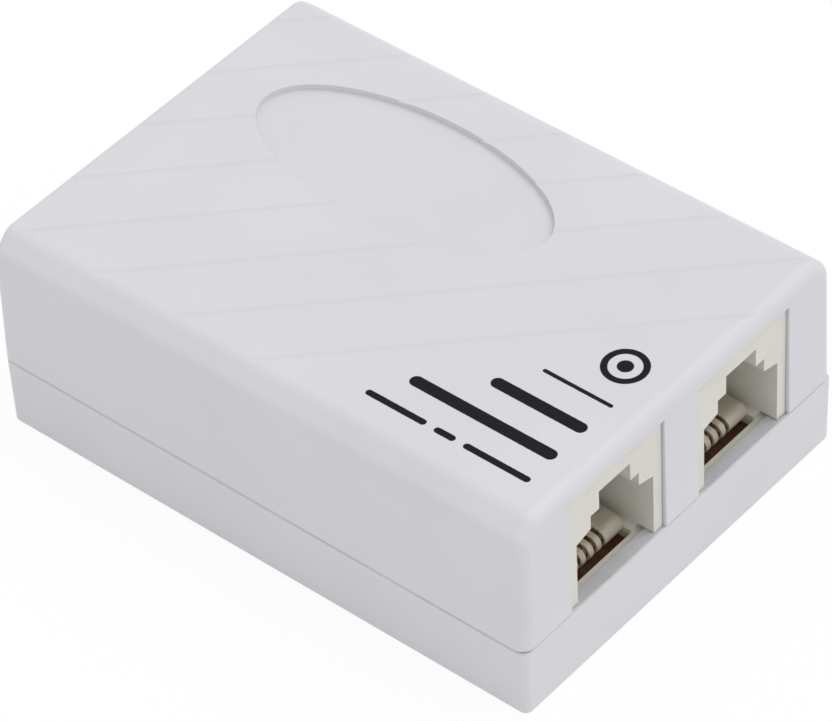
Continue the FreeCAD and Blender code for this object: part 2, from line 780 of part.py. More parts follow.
def build_contacts(prefix, face, across, sign):
    """Four bent flat-wire contacts of one jack."""
    wires = []
    for along_tail, across_tail in contact_tails():
        path = contact_path(along_tail.value)
        thick = sizes.contact_thickness.value
        wide = sizes.contact_width.value
        foot = path.OrderedVertexes[0].Point - Vector(thick / 2, wide / 2, 0)
        section = Part.makePlane(thick, wide, foot, Vector(0, 0, 1)).OuterWire
        wire = path.makePipeShell([section], True, False, 1)
        wire.translate(Vector(0, across_tail.value, 0))
        expected = thick * wide * path.Length
        if abs(wire.Volume / expected - 1) > 0.01:
            raise RuntimeError("a contact's volume is off")
        wires.append(wire)
    group = doc.addObject("Part::Feature", prefix + "_contacts")
    group.Label = prefix + "_contacts"
    group.Shape = Part.makeCompound(wires)
    place(group, face, across, board_top, turn=0 if sign > 0 else 180)
    return group


def box(name, low, high):
    """A Part box between two corners given as sizes."""
    item = doc.addObject("Part::Box", name)
    for prop, axis, index in (("Length", "x", 0), ("Width", "y", 1), ("Height", "z", 2)):
        bind(item, prop, high[index] - low[index])
        bind(item, "Placement.Base." + axis, low[index])
    return item


def cylinder(name, along, across, low, high, radius):
    """An upright Part cylinder."""
    item = doc.addObject("Part::Cylinder", name)
    bind(item, "Radius", radius)
    bind(item, "Height", as_size(high) - low)
    bind(item, "Placement.Base.x", along)
    bind(item, "Placement.Base.y", across)
    bind(item, "Placement.Base.z", low)
    return item


def group_of(name, items):
    """Like pieces kept together as one sub-part."""
    result = doc.addObject("Part::Compound", name)
    result.Links = items
    result.Label = name
    return result


def build_core(prefix, across):
    """Two E-shaped ferrite halves that meet at mid length, legs along the spool."""
    halves = []
    for end, name in ((-1, "rear"), (1, "front")):
        body = new_body("%s_coil_%s_core" % (prefix, name))
        plan = new_sketch(body, body.Label + "Plan", "XY_Plane")
        outer = sizes.core_width / 2
        inner = outer - sizes.core_leg
        middle = sizes.core_middle / 2
        tip = sizes.core_length / 2
        back = tip - sizes.core_leg
        meeting = as_size(0)
        add_outline(plan, [
            (meeting, -outer), (tip, -outer), (tip, outer), (meeting, outer),
            (meeting, inner), (back, inner), (back, middle), (meeting, middle),
            (meeting, -middle), (back, -middle), (back, -inner), (meeting, -inner),
        ])
        pad(body, body.Label + "Slab", plan, sizes.core_thickness)
        level = board_top + sizes.core_lift - sizes.spool_gap
        place(body, coil_along, across, level, turn=0 if end > 0 else 180)
        halves.append(body)
    return halves


def spool_section(sketch):
    """The square ring section of the spool's tube."""
    hole_half = sizes.core_middle / 2 + sizes.spool_gap
    hole_low = core_middle_height - sizes.core_thickness / 2 - sizes.spool_gap
    hole_high = core_middle_height + sizes.core_thickness / 2 + sizes.spool_gap
    add_rectangle(sketch, -hole_half, hole_low, hole_half, hole_high)
    tube_half = hole_half + sizes.spool_wall
    add_rectangle(sketch, -tube_half, hole_low - sizes.spool_wall, tube_half, hole_high + sizes.spool_wall)


def build_spool(prefix, across):
    """The spool: a square tube, two cheeks and two pin rails."""
    body = new_body(prefix + "_coil_spool")
    span = sizes.core_length / 2 - sizes.core_leg - sizes.spool_gap
    tube = new_sketch(body, prefix + "SpoolTube", "YZ_Plane")
    spool_section(tube)
    pad(body, prefix + "Tube", tube, span * 2, middle=True)

    hole_half = sizes.core_middle / 2 + sizes.spool_gap
    hole_low = core_middle_height - sizes.core_thickness / 2 - sizes.spool_gap
    hole_high = core_middle_height + sizes.core_thickness / 2 + sizes.spool_gap
    cheek_half = sizes.core_width / 2 - sizes.core_leg - sizes.spool_gap
    cheek_low = core_middle_height - sizes.flange_height / 2
    cheek_high = core_middle_height + sizes.flange_height / 2
    for end, name in ((-1, "Rear"), (1, "Front")):
        cheek = new_sketch(body, prefix + name + "CheekFace", "YZ_Plane", lift=span * end)
        add_rectangle(cheek, -cheek_half, cheek_low, cheek_half, cheek_high)
        add_rectangle(cheek, -hole_half, hole_low, hole_half, hole_high)
        pad(body, prefix + name + "Cheek", cheek, sizes.flange_thickness, backward=end > 0)
        rail = new_sketch(body, prefix + name + "RailPlan", "XY_Plane")
        near_end = (sizes.core_length / 2 + sizes.spool_gap) * end
        inner_end = (span - sizes.flange_thickness) * end
        outer_end = near_end + sizes.rail_width * end
        add_rectangle(rail, inner_end, -cheek_half, outer_end, cheek_half)
        pad(body, prefix + name + "Rail", rail, sizes.core_lift - sizes.spool_gap)
    place(body, coil_along, across, board_top)
    return body


def build_winding(prefix, across):
    """The wound wire as one solid ring with rounded corners, between the cheeks."""
    body = new_body(prefix + "_coil_winding")
    ring = new_sketch(body, prefix + "WindingSection", "YZ_Plane")
    half = sizes.core_width / 2 - sizes.core_leg - sizes.spool_gap * 3
    low = core_middle_height - sizes.winding_height / 2
    high = core_middle_height + sizes.winding_height / 2
    add_rectangle(ring, -half, low, half, high)
    tube_half = sizes.core_middle / 2 + sizes.spool_gap + sizes.spool_wall
    tube_low = core_middle_height - sizes.core_thickness / 2 - sizes.spool_gap - sizes.spool_wall
    tube_high = core_middle_height + sizes.core_thickness / 2 + sizes.spool_gap + sizes.spool_wall
    add_rectangle(ring, -tube_half, tube_low, tube_half, tube_high)
    span = sizes.core_length / 2 - sizes.core_leg - sizes.spool_gap - sizes.flange_thickness
    pad(body, prefix + "Winding", ring, span * 2, middle=True)

    def outer_corner(edge):
        return runs_along(edge, Vector(1, 0, 0)) and abs(middle_of(edge).y) > (half + tube_half).value / 2

    round_edges(body, prefix + "WindingCorners", sizes.spool_wall * 2, outer_corner)
    place(body, coil_along, across, board_top)
    return body


def build_coil_pins():
    """All eight coil pins: one group of like pins."""
    pins = []
    for side, across in enumerate(coil_sides()):
        for number, (along_pin, across_pin) in enumerate(coil_pins()):
            along = coil_along + along_pin
            centre = across + across_pin
            half = sizes.pin_width / 2
            pins.append(box("CoilPin%d%d" % (side, number),
                            (along - half, centre - half, board_bottom - sizes.tail_length),
                            (along + half, centre + half, board_top)))
    return group_of("coil_pins", pins)


def build_capacitor(name, across):
    """A boxed film capacitor with softened edges."""
    body = new_body(name)
    plan = new_sketch(body, name + "Plan", "XY_Plane", lift=board_top)
    add_centred(plan, sizes.capacitor_length, sizes.capacitor_width)
    pad(body, name + "Block", plan, sizes.capacitor_height)

    def upper(edge):
        return lowest(edge) > (board_top + sizes.capacitor_height / 4).value

    round_edges(body, name + "Edges", sizes.capacitor_round, upper)
    place(body, capacitor_along, across, as_size(0))
    return body


def build_capacitor_leads():
    """The four capacitor leads."""
    leads = []
    for side in (-1, 1):
        for end in (-1, 1):
            along = capacitor_along + sizes.lead_spread * end / 2
            leads.append(cylinder("CapacitorLead%d%d" % (side + 1, end + 1), along,
                                  capacitor_across * side, board_bottom - sizes.tail_length,
                                  board_top, sizes.lead_radius))
    return group_of("capacitor_leads", leads)


def build_resistors():
    """Two like resistor bodies: turned barrels with raised end caps."""
    barrels = []
    for side in (-1, 1):
        name = "Resistor%d" % (side + 1)
        body = new_body(name)
        profile = new_sketch(body, name + "Profile", "XZ_Plane")
        end = sizes.resistor_length / 2
        cap = end - sizes.resistor_radius
        rim = sizes.resistor_radius
        waist = rim * 0.82
        add_outline(profile, [
            (-end, as_size(0)), (end, as_size(0)), (end, rim), (cap, rim),
            (cap, waist), (-cap, waist), (-cap, rim), (-end, rim),
        ])
        turned = body.newObject("PartDesign::Revolution", name + "Barrel")
        turned.Profile = profile
        turned.ReferenceAxis = (profile, ["H_Axis"])
        turned.Angle = 360
        doc.recompute()
        place(body, resistor_along, sizes.resistor_across * side,
              board_top + sizes.resistor_lift + sizes.resistor_radius)
        barrels.append(body)
    return group_of("damping_resistors", barrels)


def build_resistor_leads():
    """Four bent resistor leads, each from its barrel's end down through the board."""
    leads = []
    level = (board_top + sizes.resistor_lift + sizes.resistor_radius).value
    for side in (-1, 1):
        for end in (-1, 1):
            across = sizes.resistor_across.value * side
            centre = resistor_along.value
            inner = Vector(centre + end * sizes.resistor_length.value / 2, across, level)
            outer = centre + end * sizes.resistor_spread.value / 2
            corner = Vector(outer, across, level)
            foot = Vector(outer, across, board_bottom.value - sizes.tail_length.value)
            path = Part.Wire([
                Part.LineSegment(inner, corner).toShape(),
                Part.LineSegment(corner, foot).toShape(),
            ])
            ring = Part.Wire(Part.makeCircle(sizes.lead_radius.value, inner, Vector(1, 0, 0)))
            leads.append(path.makePipeShell([ring], True, False, 1))
    group = doc.addObject("Part::Feature", "resistor_leads")
    group.Label = "resistor_leads"
    group.Shape = Part.makeCompound(leads)
    return group


def build_screws():
    """Two like self-tapping screws, heads down in their wells."""
    screws = []
    for side in (-1, 1):
        name = "Screw%d" % (side + 1)
        body = new_body(name)
        profile = new_sketch(body, name + "Profile", "XZ_Plane")
        tip = sizes.head_height + sizes.shank_length
        head = sizes.head_radius
        shank = sizes.shank_radius
        add_outline(profile, [
            (as_size(0), as_size(0)), (head * 0.7, as_size(0)), (head, sizes.head_height / 2),
            (head, sizes.head_height), (shank, sizes.head_height),
            (shank, tip - shank), (shank / 3, tip), (as_size(0), tip),
        ])
        turned = body.newObject("PartDesign::Revolution", name + "Turned")
        turned.Profile = profile
        turned.ReferenceAxis = (profile, ["V_Axis"])
        turned.Angle = 360
        doc.recompute()
        cross = new_sketch(body, name + "Cross", "XY_Plane")
        arm = head * 0.55
        slot = head * 0.14
        add_outline(cross, [
            (arm, -slot), (arm, slot), (slot, slot), (slot, arm), (-slot, arm), (-slot, slot),
            (-arm, slot), (-arm, -slot), (-slot, -slot), (-slot, -arm), (slot, -arm), (slot, -slot),
        ])
        pocket(body, name + "Recess", cross, sizes.head_height * 0.6, backward=True)
        place(body, screw_along, screw_across * side, head_depth - sizes.head_height)
        screws.append(body)
    return group_of("housing_screws", screws)


def build_all():
    """Every sub-part, in the order of assembly."""
    nodes = [build_lower_housing(), build_circuit_board()]
    for prefix, (face, across, sign) in zip(("phone", "modem", "line"), jack_places()):
        nodes.append(build_jack(prefix, face, across, sign))
        nodes.append(build_carrier(prefix, face, across, sign))
        nodes.append(build_contacts(prefix, face, across, sign))
    for prefix, across in zip(("first", "second"), coil_sides()):
        nodes.extend(build_core(prefix, across))
        nodes.append(build_spool(prefix, across))
        nodes.append(build_winding(prefix, across))
    nodes.append(build_coil_pins())
    nodes.append(build_capacitor("line_capacitor", -capacitor_across))
    nodes.append(build_capacitor("phone_capacitor", capacitor_across))
    nodes.append(build_capacitor_leads())
    nodes.append(build_resistors())
    nodes.append(build_resistor_leads())
    nodes.append(build_upper_housing())
    nodes.append(build_screws())
    doc.recompute()
    return nodes


def check_and_export(nodes):
    """Refuses any failed feature or invalid solid, then writes one file per sub-part."""
    for item in doc.Objects:
        if "Invalid" in item.State or "Error" in item.State:
            raise RuntimeError("%s failed" % item.Label)
    for node in nodes:
        if node.Shape.isNull() or not node.Shape.isValid() or not node.Shape.Solids:
            raise RuntimeError("%s has no sound solid" % node.Label)
    os.makedirs("parts", exist_ok=True)
    for node in nodes:
        node.Shape.exportStep("parts/%s.step" % node.Label)
        print("%-24s solids %2d  volume %9.3f" % (node.Label, len(node.Shape.Solids), node.Shape.Volume))


check_and_export(build_all())
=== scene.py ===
import json
import math

import bpy
from mathutils import Color, Matrix, Vector


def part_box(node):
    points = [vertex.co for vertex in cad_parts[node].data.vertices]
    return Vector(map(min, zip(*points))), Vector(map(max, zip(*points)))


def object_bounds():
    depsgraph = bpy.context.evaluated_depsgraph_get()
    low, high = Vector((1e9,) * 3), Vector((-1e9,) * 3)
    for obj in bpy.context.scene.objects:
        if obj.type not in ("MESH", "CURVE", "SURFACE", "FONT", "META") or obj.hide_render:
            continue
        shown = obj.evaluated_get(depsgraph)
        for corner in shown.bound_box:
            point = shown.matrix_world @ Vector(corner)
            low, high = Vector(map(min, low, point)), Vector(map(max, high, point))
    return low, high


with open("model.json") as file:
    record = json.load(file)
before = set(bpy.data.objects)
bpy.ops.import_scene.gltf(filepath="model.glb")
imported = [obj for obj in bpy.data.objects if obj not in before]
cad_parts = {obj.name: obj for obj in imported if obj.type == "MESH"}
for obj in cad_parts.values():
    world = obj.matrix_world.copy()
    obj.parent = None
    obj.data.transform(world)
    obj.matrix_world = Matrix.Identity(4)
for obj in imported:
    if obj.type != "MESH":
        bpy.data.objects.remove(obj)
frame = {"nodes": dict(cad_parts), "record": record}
cad_box = [list(map(float, corner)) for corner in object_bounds()]
nodes = frame["nodes"]
MM = 0.001
top_of_box = cad_box[1][2]


# Colours are written as seen on screen, 0 to 255, and turned into linear light here.
def seen(red, green, blue):
    opaque = 1.0
    srgb = Color((red / 255.0, green / 255.0, blue / 255.0))
    return (*srgb.from_srgb_to_scene_linear(), opaque)


class Paint:
    """A node material in the making: one Principled shader and helpers that feed it."""

    def __init__(self, name):
        self.material = bpy.data.materials.new(name)
        self.material.use_nodes = True
        self.tree = self.material.node_tree
        self.shader = self.tree.nodes["Principled BSDF"]
        self.place = self.add("ShaderNodeTexCoord").outputs["Object"]

    def add(self, kind, **values):
        node = self.tree.nodes.new(kind)
        for key, value in values.items():
            setattr(node, key, value)
        return node

    def join(self, source, target):
        self.tree.links.new(source, target)

    def scaled(self, sx, sy, sz):
        node = self.add("ShaderNodeMapping")
        node.inputs["Scale"].default_value = (sx, sy, sz)
        self.join(self.place, node.inputs["Vector"])
        return node.outputs["Vector"]

    def noise(self, size_mm, detail=2.0, rough=0.5, place=None):
        node = self.add("ShaderNodeTexNoise")
        node.inputs["Scale"].default_value = 1.0 / (size_mm * MM)
        node.inputs["Detail"].default_value = detail
        node.inputs["Roughness"].default_value = rough
        self.join(place or self.place, node.inputs["Vector"])
        return node.outputs["Fac"]

    def tones(self, factor, dark, light, dark_at=0.3, light_at=0.7):
        return self.ramp(factor, [(dark_at, dark), (light_at, light)])

    def ramp(self, factor, stops, interpolation="LINEAR"):
        node = self.add("ShaderNodeValToRGB")
        node.color_ramp.interpolation = interpolation
        elements = node.color_ramp.elements
        middle = 0.5
        while len(elements) < len(stops):
            elements.new(middle)
        for element, (position, colour) in zip(elements, stops):
            element.position = position
            element.color = colour
        self.join(factor, node.inputs["Fac"])
        return node.outputs["Color"]

    def spread(self, factor, low, high, start=0.35, end=0.65):
        node = self.add("ShaderNodeMapRange")
        node.inputs["From Min"].default_value = start
        node.inputs["From Max"].default_value = end
        node.inputs["To Min"].default_value = low
        node.inputs["To Max"].default_value = high
        self.join(factor, node.inputs["Value"])
        return node.outputs["Result"]

    def maths(self, operation, first, second=None):
        node = self.add("ShaderNodeMath", operation=operation)
        for index, value in enumerate((first, second)):
            if value is None:
                continue
            if isinstance(value, (int, float)):
                node.inputs[index].default_value = value
            else:
                self.join(value, node.inputs[index])
        return node.outputs[0]

    def blend(self, factor, first, second):
        node = self.add("ShaderNodeMix", data_type="RGBA")
        for name, value in (("Factor", factor), ("A", first), ("B", second)):
            socket = [entry for entry in node.inputs if entry.name == name and entry.enabled][0]
            if isinstance(value, (int, float, tuple)):
                socket.default_value = value
            else:
                self.join(value, socket)
        return [entry for entry in node.outputs if entry.enabled][0]

    def bump(self, height, depth_mm, strength=1.0, below=None):
        node = self.add("ShaderNodeBump")
        node.inputs["Strength"].default_value = strength
        node.inputs["Distance"].default_value = depth_mm * MM
        self.join(height, node.inputs["Height"])
        if below is not None:
            self.join(below, node.inputs["Normal"])
        return node.outputs["Normal"]

    def set(self, **values):
        for key, value in values.items():
            socket = self.shader.inputs[key.replace("_", " ")]
            if isinstance(value, (int, float, tuple)):
                socket.default_value = value
            else:
                self.join(value, socket)


# Printed bars near the two-jack end, in millimetres: where the rows end together, then each
# row's place across the box, its left end and its thickness.
PRINT_RIGHT = 25.4
PRINT_ROWS = [(-5.0, 18.3, 0.4), (-8.4, 15.8, 1.2), (-12.2, 10.5, 1.2)]

# The lowest row: the ends of its short bars, its place across the box and its thickness.
SHORT_BARS = [(8.6, 14.8), (15.7, 17.8), (18.7, 25.4)]
SHORT_BARS_ACROSS = -15.5
SHORT_BARS_THICK = 0.65

# The ring's place along and across the box, its radius and its line, and the dot's radius.
PRINT_RING = (23.3, -0.7, 1.75, 0.6)
PRINT_DOT = 0.7

# The ink's edge, in millimetres: how ragged it is, where it starts to fade, where it ends,
# and how far below the top of the box it may lie.
INK_RAGGED = 0.008
INK_FADES = -0.02
INK_ENDS = 0.03
INK_SKIN = 0.1


def print_mask(paint):
    """One where the printed bars, ring and dot are, nought elsewhere on the shell."""
    split = paint.add("ShaderNodeSeparateXYZ")
    paint.join(paint.place, split.inputs["Vector"])
    along, across, up = split.outputs

    def from_centre(x, y, half):
        aside = paint.maths("ABSOLUTE", paint.maths("SUBTRACT", along, x * MM))
        aside = paint.maths("MAXIMUM", paint.maths("SUBTRACT", aside, half * MM), 0.0)
        over = paint.maths("SUBTRACT", across, y * MM)
        aside = paint.maths("MULTIPLY", aside, aside)
        over = paint.maths("MULTIPLY", over, over)
        return paint.maths("SQRT", paint.maths("ADD", aside, over))

    def bar(left, right, y, thick):
        middle = (left + right) / 2
        half = (right - left - thick) / 2
        return paint.maths("SUBTRACT", from_centre(middle, y, half), thick / 2 * MM)

    x, y, radius, line = PRINT_RING
    out_of_ring = paint.maths("ABSOLUTE", paint.maths("SUBTRACT", from_centre(x, y, 0), radius * MM))
    shapes = [paint.maths("SUBTRACT", out_of_ring, line / 2 * MM),
              paint.maths("SUBTRACT", from_centre(x, y, 0), PRINT_DOT * MM)]
    shapes += [bar(left, PRINT_RIGHT, row, thick) for row, left, thick in PRINT_ROWS]
    shapes += [bar(left, right, SHORT_BARS_ACROSS, SHORT_BARS_THICK) for left, right in SHORT_BARS]
    nearest = shapes[0]
    for shape in shapes[1:]:
        nearest = paint.maths("MINIMUM", nearest, shape)
    grain = paint.noise(size_mm=0.25, detail=3)
    ragged = paint.spread(grain, low=-INK_RAGGED * MM, high=INK_RAGGED * MM)
    edge = paint.maths("ADD", nearest, ragged)
    inked = paint.spread(edge, low=1.0, high=0.0, start=INK_FADES * MM, end=INK_ENDS * MM)
    on_top = paint.maths("GREATER_THAN", up, top_of_box - INK_SKIN * MM)
    return paint.maths("MULTIPLY", inked, on_top)


# The seam's height, how far from it the painted shade lies thick and how far it reaches, in millimetres.
SEAM_HEIGHT = 7.1
SEAM_SHADE_THICK = 0.064
SEAM_SHADE_REACH = 0.16

# How far below the top a groove reaches, in millimetres with a little to spare, and the
# upright part of the normal on its steep side.
GROOVE_DEPTH = 0.19
GROOVE_LEAN = 0.55
GROOVE_LEAN_RANGE = 0.12


def seam_and_groove_masks(paint):
    """Painted shade along the seam, uneven in patches, and painted light on the short steep side of each
    groove.
    """
    split = paint.add("ShaderNodeSeparateXYZ")
    paint.join(paint.place, split.inputs["Vector"])
    up = split.outputs["Z"]
    # Painted shade: a dark band along the seam, uneven in patches, stands in for the shadow in the gap
    # between the shells.
    off_seam = paint.maths("ABSOLUTE", paint.maths("SUBTRACT", up, SEAM_HEIGHT * MM))
    painted_seam_shade = paint.spread(off_seam, low=1.0, high=0.0, start=SEAM_SHADE_THICK * MM, end=SEAM_SHADE_REACH * MM)
    patches = paint.spread(paint.noise(size_mm=4.0, detail=3), low=0.45, high=1.0)
    painted_seam_shade = paint.maths("MULTIPLY", painted_seam_shade, patches)
    # Painted light: the steep side of each groove near the top, picked out by its normal, is coloured paler
    # than its shade.
    facing = paint.add("ShaderNodeNewGeometry").outputs["True Normal"]
    lean = paint.add("ShaderNodeSeparateXYZ")
    paint.join(facing, lean.inputs["Vector"])
    tilted = paint.maths("COMPARE", lean.outputs["Z"], GROOVE_LEAN)
    tilted.node.inputs[2].default_value = GROOVE_LEAN_RANGE
    near_top = paint.maths("GREATER_THAN", up, top_of_box - GROOVE_DEPTH * MM)
    return painted_seam_shade, paint.maths("MULTIPLY", tilted, near_top)


def shell_plastic():
    """Moulded white plastic: a faint cloudiness, a fine eroded texture, a satin sheen and the print."""
    paint = Paint("shell_white")
    cloud = paint.noise(size_mm=14, detail=3)
    colour = paint.tones(cloud, seen(219, 219, 224), seen(223, 223, 228))
    painted_seam_shade, painted_groove_light = seam_and_groove_masks(paint)
    # Painted light: the steep sides of the grooves are made paler.
    colour = paint.blend(painted_groove_light, colour, seen(230, 230, 235))
    # Painted shade along the seam.
    colour = paint.blend(painted_seam_shade, colour, seen(198, 198, 202))
    speck = paint.noise(size_mm=0.22, detail=4, rough=0.7)
    ink = paint.tones(speck, seen(10, 10, 19), seen(22, 22, 32))
    printed = print_mask(paint)
    colour = paint.blend(printed, colour, ink)
    grain = paint.noise(size_mm=0.16, detail=3, rough=0.6)
    flow = paint.noise(size_mm=3.5, detail=2)
    normal = paint.bump(flow, depth_mm=0.012, strength=0.5)
    normal = paint.bump(grain, depth_mm=0.006, strength=0.5, below=normal)
    shine = paint.spread(printed, low=0.5, high=0.12, start=0.0, end=1.0)
    paint.set(Base_Color=colour, Roughness=paint.spread(grain, low=0.40, high=0.50), Normal=normal,
              Specular_IOR_Level=shine, IOR=1.49)
    return paint.material


def jack_plastic():
    """Moulded ivory plastic of the jacks."""
    paint = Paint("jack_ivory")
    cloud = paint.noise(size_mm=3.0, detail=3)
    colour = paint.tones(cloud, seen(220, 217, 208), seen(226, 223, 215))
    grain = paint.noise(size_mm=0.12, detail=2)
    normal = paint.bump(grain, depth_mm=0.005, strength=0.4)
    paint.set(Base_Color=colour, Roughness=paint.spread(grain, low=0.36, high=0.46), Normal=normal,
              IOR=1.52)
    return paint.material


def carrier_plastic():
    """The contact carrier: the same ivory, darker and browner as painted shade inside the jack's mouth."""
    paint = Paint("carrier_ivory")
    cloud = paint.noise(size_mm=1.2, detail=4)
    # Painted shade: darker and browner tones than the jacks' own ivory.
    colour = paint.tones(cloud, seen(184, 176, 158), seen(202, 195, 180))
    normal = paint.bump(cloud, depth_mm=0.01, strength=0.4)
    paint.set(Base_Color=colour, Roughness=paint.spread(cloud, low=0.38, high=0.5), Normal=normal,
              IOR=1.52)
    return paint.material


def contact_bronze():
    """Spring wire of phosphor bronze, painted dark brown for the shade in its slots, varying in colour and
    duller in patches.
    """
    paint = Paint("contact_bronze")
    patch = paint.noise(size_mm=0.7, detail=4)
    # Both tones are dark: painted shade of the wires lying in their slots.
    colour = paint.tones(patch, seen(74, 54, 36), seen(116, 88, 60))
    drawn = paint.noise(size_mm=0.06, detail=2, place=paint.scaled(sx=0.1, sy=1.0, sz=1.0))
    paint.set(Base_Color=colour, Metallic=1.0, Roughness=paint.spread(patch, low=0.24, high=0.36),
              Normal=paint.bump(drawn, depth_mm=0.004, strength=0.3))
    return paint.material


def board_laminate():
    """Dark brown paper laminate with a fibrous speckle."""
    paint = Paint("board_laminate")
    fibre = paint.noise(size_mm=0.5, detail=5, place=paint.scaled(sx=0.25, sy=1.0, sz=1.0))
    colour = paint.tones(fibre, seen(74, 44, 30), seen(98, 62, 42))
    paint.set(Base_Color=colour, Roughness=paint.spread(fibre, low=0.42, high=0.58),
              Normal=paint.bump(fibre, depth_mm=0.01, strength=0.4))
    return paint.material


def ferrite():
    """Ground ferrite: near black, speckled, with fine grinding lines."""
    paint = Paint("ferrite")
    speck = paint.noise(size_mm=0.25, detail=4)
    ground = paint.noise(size_mm=0.12, detail=2, place=paint.scaled(sx=0.05, sy=1.0, sz=1.0))
    colour = paint.tones(speck, seen(46, 46, 50), seen(64, 64, 68))
    paint.set(Base_Color=colour, Roughness=paint.spread(speck, low=0.45, high=0.62),
              Normal=paint.bump(ground, depth_mm=0.008, strength=0.4))
    return paint.material


def spool_plastic():
    """Black moulded plastic."""
    paint = Paint("spool_black")
    grain = paint.noise(size_mm=0.3, detail=3)
    colour = paint.tones(grain, seen(30, 30, 32), seen(40, 40, 42))
    paint.set(Base_Color=colour, Roughness=paint.spread(grain, low=0.42, high=0.56),
              Normal=paint.bump(grain, depth_mm=0.006, strength=0.4))
    return paint.material


# The wire's pitch in millimetres, and how many waves the texture draws in a unit at scale 1.
WIRE_PITCH = 0.25
WAVES_PER_UNIT = 20


def winding_wire():
    """Close turns of enamelled copper wire running round the spool."""
    paint = Paint("winding_copper")
    turns = paint.add("ShaderNodeTexWave", wave_type="BANDS", bands_direction="X")
    turns.inputs["Scale"].default_value = 1.0 / (WAVES_PER_UNIT * WIRE_PITCH * MM)
    turns.inputs["Distortion"].default_value = 0.6
    paint.join(paint.place, turns.inputs["Vector"])
    shade = paint.noise(size_mm=1.5, detail=2)
    wire = paint.tones(turns.outputs["Fac"], seen(96, 44, 18), seen(198, 112, 60), dark_at=0.0, light_at=0.6)
    colour = paint.blend(paint.spread(shade, low=0.0, high=0.35), wire, seen(150, 76, 40))
    paint.set(Base_Color=colour, Metallic=0.6, Roughness=0.34,
              Normal=paint.bump(turns.outputs["Fac"], depth_mm=0.08, strength=0.8))
    return paint.material


def capacitor_case():
    """Glossy red case with a faint ripple."""
    paint = Paint("capacitor_red")
    ripple = paint.noise(size_mm=1.8, detail=2)
    colour = paint.tones(ripple, seen(168, 40, 28), seen(184, 50, 36))
    paint.set(Base_Color=colour, Roughness=paint.spread(ripple, low=0.16, high=0.26),
              Normal=paint.bump(ripple, depth_mm=0.03, strength=0.4), Coat_Weight=0.3)
    return paint.material


def resistor_coat():
    """Tan lacquer with colour rings across the barrel."""
    paint = Paint("resistor_rings")
    low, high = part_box("damping_resistors")
    split = paint.add("ShaderNodeSeparateXYZ")
    paint.join(paint.place, split.inputs["Vector"])
    along = paint.spread(split.outputs["X"], low=0.0, high=1.0, start=low.x, end=high.x)
    coat = seen(206, 182, 138)
    rings = paint.ramp(along, [
        (0.0, coat),
        (0.16, seen(112, 64, 32)), (0.24, coat),
        (0.34, seen(24, 22, 22)), (0.42, coat),
        (0.52, seen(176, 40, 30)), (0.60, coat),
        (0.76, seen(190, 150, 66)), (0.84, coat),
    ], interpolation="CONSTANT")
    speck = paint.noise(size_mm=0.5, detail=3)
    paint.set(Base_Color=rings, Roughness=paint.spread(speck, low=0.26, high=0.38),
              Normal=paint.bump(speck, depth_mm=0.02, strength=0.4))
    return paint.material


def tinned_metal(name, dark, light, low, high):
    """Bright tin or zinc with soft patches."""
    paint = Paint(name)
    patch = paint.noise(size_mm=0.6, detail=4)
    colour = paint.tones(patch, dark, light)
    fine = paint.noise(size_mm=0.08, detail=2)
    paint.set(Base_Color=colour, Metallic=1.0, Roughness=paint.spread(patch, low, high),
              Normal=paint.bump(fine, depth_mm=0.004, strength=0.3))
    return paint.material


# Each material slot of the record, with its look.
looks = {
    "shell_plastic": shell_plastic(),
    "jack_plastic": jack_plastic(),
    "carrier_plastic": carrier_plastic(),
    "contact_gold": contact_bronze(),
    "board_laminate": board_laminate(),
    "ferrite": ferrite(),
    "spool_plastic": spool_plastic(),
    "winding_wire": winding_wire(),
    "capacitor_case": capacitor_case(),
    "resistor_coat": resistor_coat(),
    "tinned_wire": tinned_metal("tinned_wire", seen(176, 176, 174), seen(204, 204, 202), low=0.2, high=0.32),
    "screw_steel": tinned_metal("screw_zinc", seen(160, 162, 166), seen(190, 192, 194), low=0.26, high=0.42),
}

slots = {entry["node"]: entry["material_slot"] for entry in frame["record"]["subparts"]}
for name, thing in nodes.items():
    look = looks[slots[name]]
    if not thing.material_slots:
        thing.data.materials.append(look)
    for holder in thing.material_slots:
        holder.material = look


# The light: strengths of the world and the lamp, the lamp's apparent width and its direction.
WHITE = (1, 1, 1, 1)
WORLD_STRENGTH = 0.73
BACKGROUND_STRENGTH = 1.0
LAMP_STRENGTH = 0.755
LAMP_WIDTH_DEGREES = 50
TOWARD_LAMP = (0.333, 0.30, 0.89)


def shows_background(tree):
    """One for the rays that show the white background: camera, glossy and transmission."""
    path = tree.nodes.new("ShaderNodeLightPath")
    shown = path.outputs["Is Camera Ray"]
    for kind in ("Is Glossy Ray", "Is Transmission Ray"):
        either = tree.nodes.new("ShaderNodeMath")
        either.operation = "MAXIMUM"
        tree.links.new(shown, either.inputs[0])
        tree.links.new(path.outputs[kind], either.inputs[1])
        shown = either.outputs[0]
    return shown


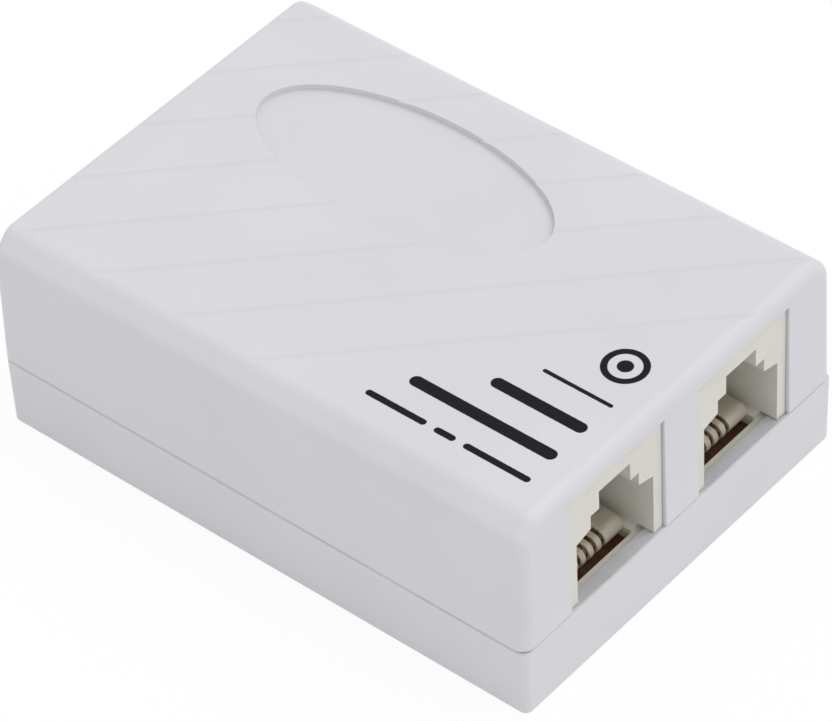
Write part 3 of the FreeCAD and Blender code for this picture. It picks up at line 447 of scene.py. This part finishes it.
def set_light():
    """A plain bright world, and one broad soft lamp high above the two-jack end."""
    world = bpy.data.worlds.new("studio")
    bpy.context.scene.world = world
    world.use_nodes = True
    tree = world.node_tree
    tree.nodes.clear()
    plain = tree.nodes.new("ShaderNodeBackground")
    plain.inputs["Color"].default_value = WHITE
    plain.inputs["Strength"].default_value = WORLD_STRENGTH
    white = tree.nodes.new("ShaderNodeBackground")
    white.inputs["Color"].default_value = WHITE
    white.inputs["Strength"].default_value = BACKGROUND_STRENGTH
    pick = tree.nodes.new("ShaderNodeMixShader")
    out = tree.nodes.new("ShaderNodeOutputWorld")
    tree.links.new(shows_background(tree), pick.inputs[0])
    tree.links.new(plain.outputs[0], pick.inputs[1])
    tree.links.new(white.outputs[0], pick.inputs[2])
    tree.links.new(pick.outputs[0], out.inputs["Surface"])

    lamp = bpy.data.lights.new("key", "SUN")
    lamp.energy = LAMP_STRENGTH
    lamp.angle = math.radians(LAMP_WIDTH_DEGREES)
    key = bpy.data.objects.new("key", lamp)
    key.rotation_euler = Vector(TOWARD_LAMP).to_track_quat("Z", "Y").to_euler()
    bpy.context.scene.collection.objects.link(key)


# The floor in metres, and the share of its look that is plain glow where it shows as background.
FLOOR_HALF = 3.0
FLOOR_SINK = 0.00002
FLOOR_COLOUR = (0.90, 0.90, 0.90, 1)
FLOOR_ROUGHNESS = 0.9
FLOOR_GLOW = 1.02
GLOW_SHARE = 0.88


def set_floor():
    """A wide pale floor that stays white to the camera but keeps a soft shadow."""
    mesh = bpy.data.meshes.new("floor")
    half = FLOOR_HALF
    corners = [(-half, -half, 0), (half, -half, 0), (half, half, 0), (-half, half, 0)]
    mesh.from_pydata(corners, [], [(0, 1, 2, 3)])
    floor = bpy.data.objects.new("floor", mesh)
    floor.location = (0, 0, -FLOOR_SINK)
    bpy.context.scene.collection.objects.link(floor)
    material = bpy.data.materials.new("floor_white")
    material.use_nodes = True
    tree = material.node_tree
    shader = tree.nodes["Principled BSDF"]
    shader.inputs["Base Color"].default_value = FLOOR_COLOUR
    shader.inputs["Roughness"].default_value = FLOOR_ROUGHNESS
    glow = tree.nodes.new("ShaderNodeEmission")
    glow.inputs["Strength"].default_value = FLOOR_GLOW
    share = tree.nodes.new("ShaderNodeMath")
    share.operation = "MULTIPLY"
    share.inputs[1].default_value = GLOW_SHARE
    pick = tree.nodes.new("ShaderNodeMixShader")
    tree.links.new(shows_background(tree), share.inputs[0])
    tree.links.new(share.outputs[0], pick.inputs[0])
    tree.links.new(shader.outputs[0], pick.inputs[1])
    tree.links.new(glow.outputs[0], pick.inputs[2])
    tree.links.new(pick.outputs[0], tree.nodes["Material Output"].inputs["Surface"])
    mesh.materials.append(material)


# The camera: inner values in pixels of an 832 by 721 picture, sensor width in millimetres,
# clipping and place in metres, and the directions to its right and forward.
IMAGE_WIDTH = 832.0
IMAGE_HEIGHT = 721.0
FOCAL_PIXELS = 5001.5
CENTRE_ACROSS = 371.2
CENTRE_DOWN = 372.5
SENSOR_WIDTH = 36.0
CLIP_START = 0.01
CLIP_END = 20.0
CAMERA_PLACE = (0.205177, -0.2273, 0.297761)
CAMERA_RIGHT = (0.7629, 0.6448, -0.0471)
CAMERA_FORWARD = (-0.4922, 0.5321, -0.6890)


def set_camera():
    """The photograph's camera, found from the box's edges."""
    lens = bpy.data.cameras.new("camera")
    lens.sensor_width = SENSOR_WIDTH
    lens.lens = FOCAL_PIXELS / IMAGE_WIDTH * SENSOR_WIDTH
    lens.shift_x = (IMAGE_WIDTH / 2 - CENTRE_ACROSS) / IMAGE_WIDTH
    lens.shift_y = (CENTRE_DOWN - IMAGE_HEIGHT / 2) / IMAGE_WIDTH
    lens.clip_start = CLIP_START
    lens.clip_end = CLIP_END
    camera = bpy.data.objects.new("camera", lens)
    right = Vector(CAMERA_RIGHT).normalized()
    forward = Vector(CAMERA_FORWARD).normalized()
    up = right.cross(forward).normalized()
    right = forward.cross(up).normalized()
    turn = Matrix((right, up, -forward)).transposed().to_4x4()
    camera.matrix_world = Matrix.Translation(Vector(CAMERA_PLACE)) @ turn
    bpy.context.scene.collection.objects.link(camera)
    bpy.context.scene.camera = camera


set_light()
set_floor()
set_camera()
bpy.context.scene.view_settings.view_transform = "Standard"
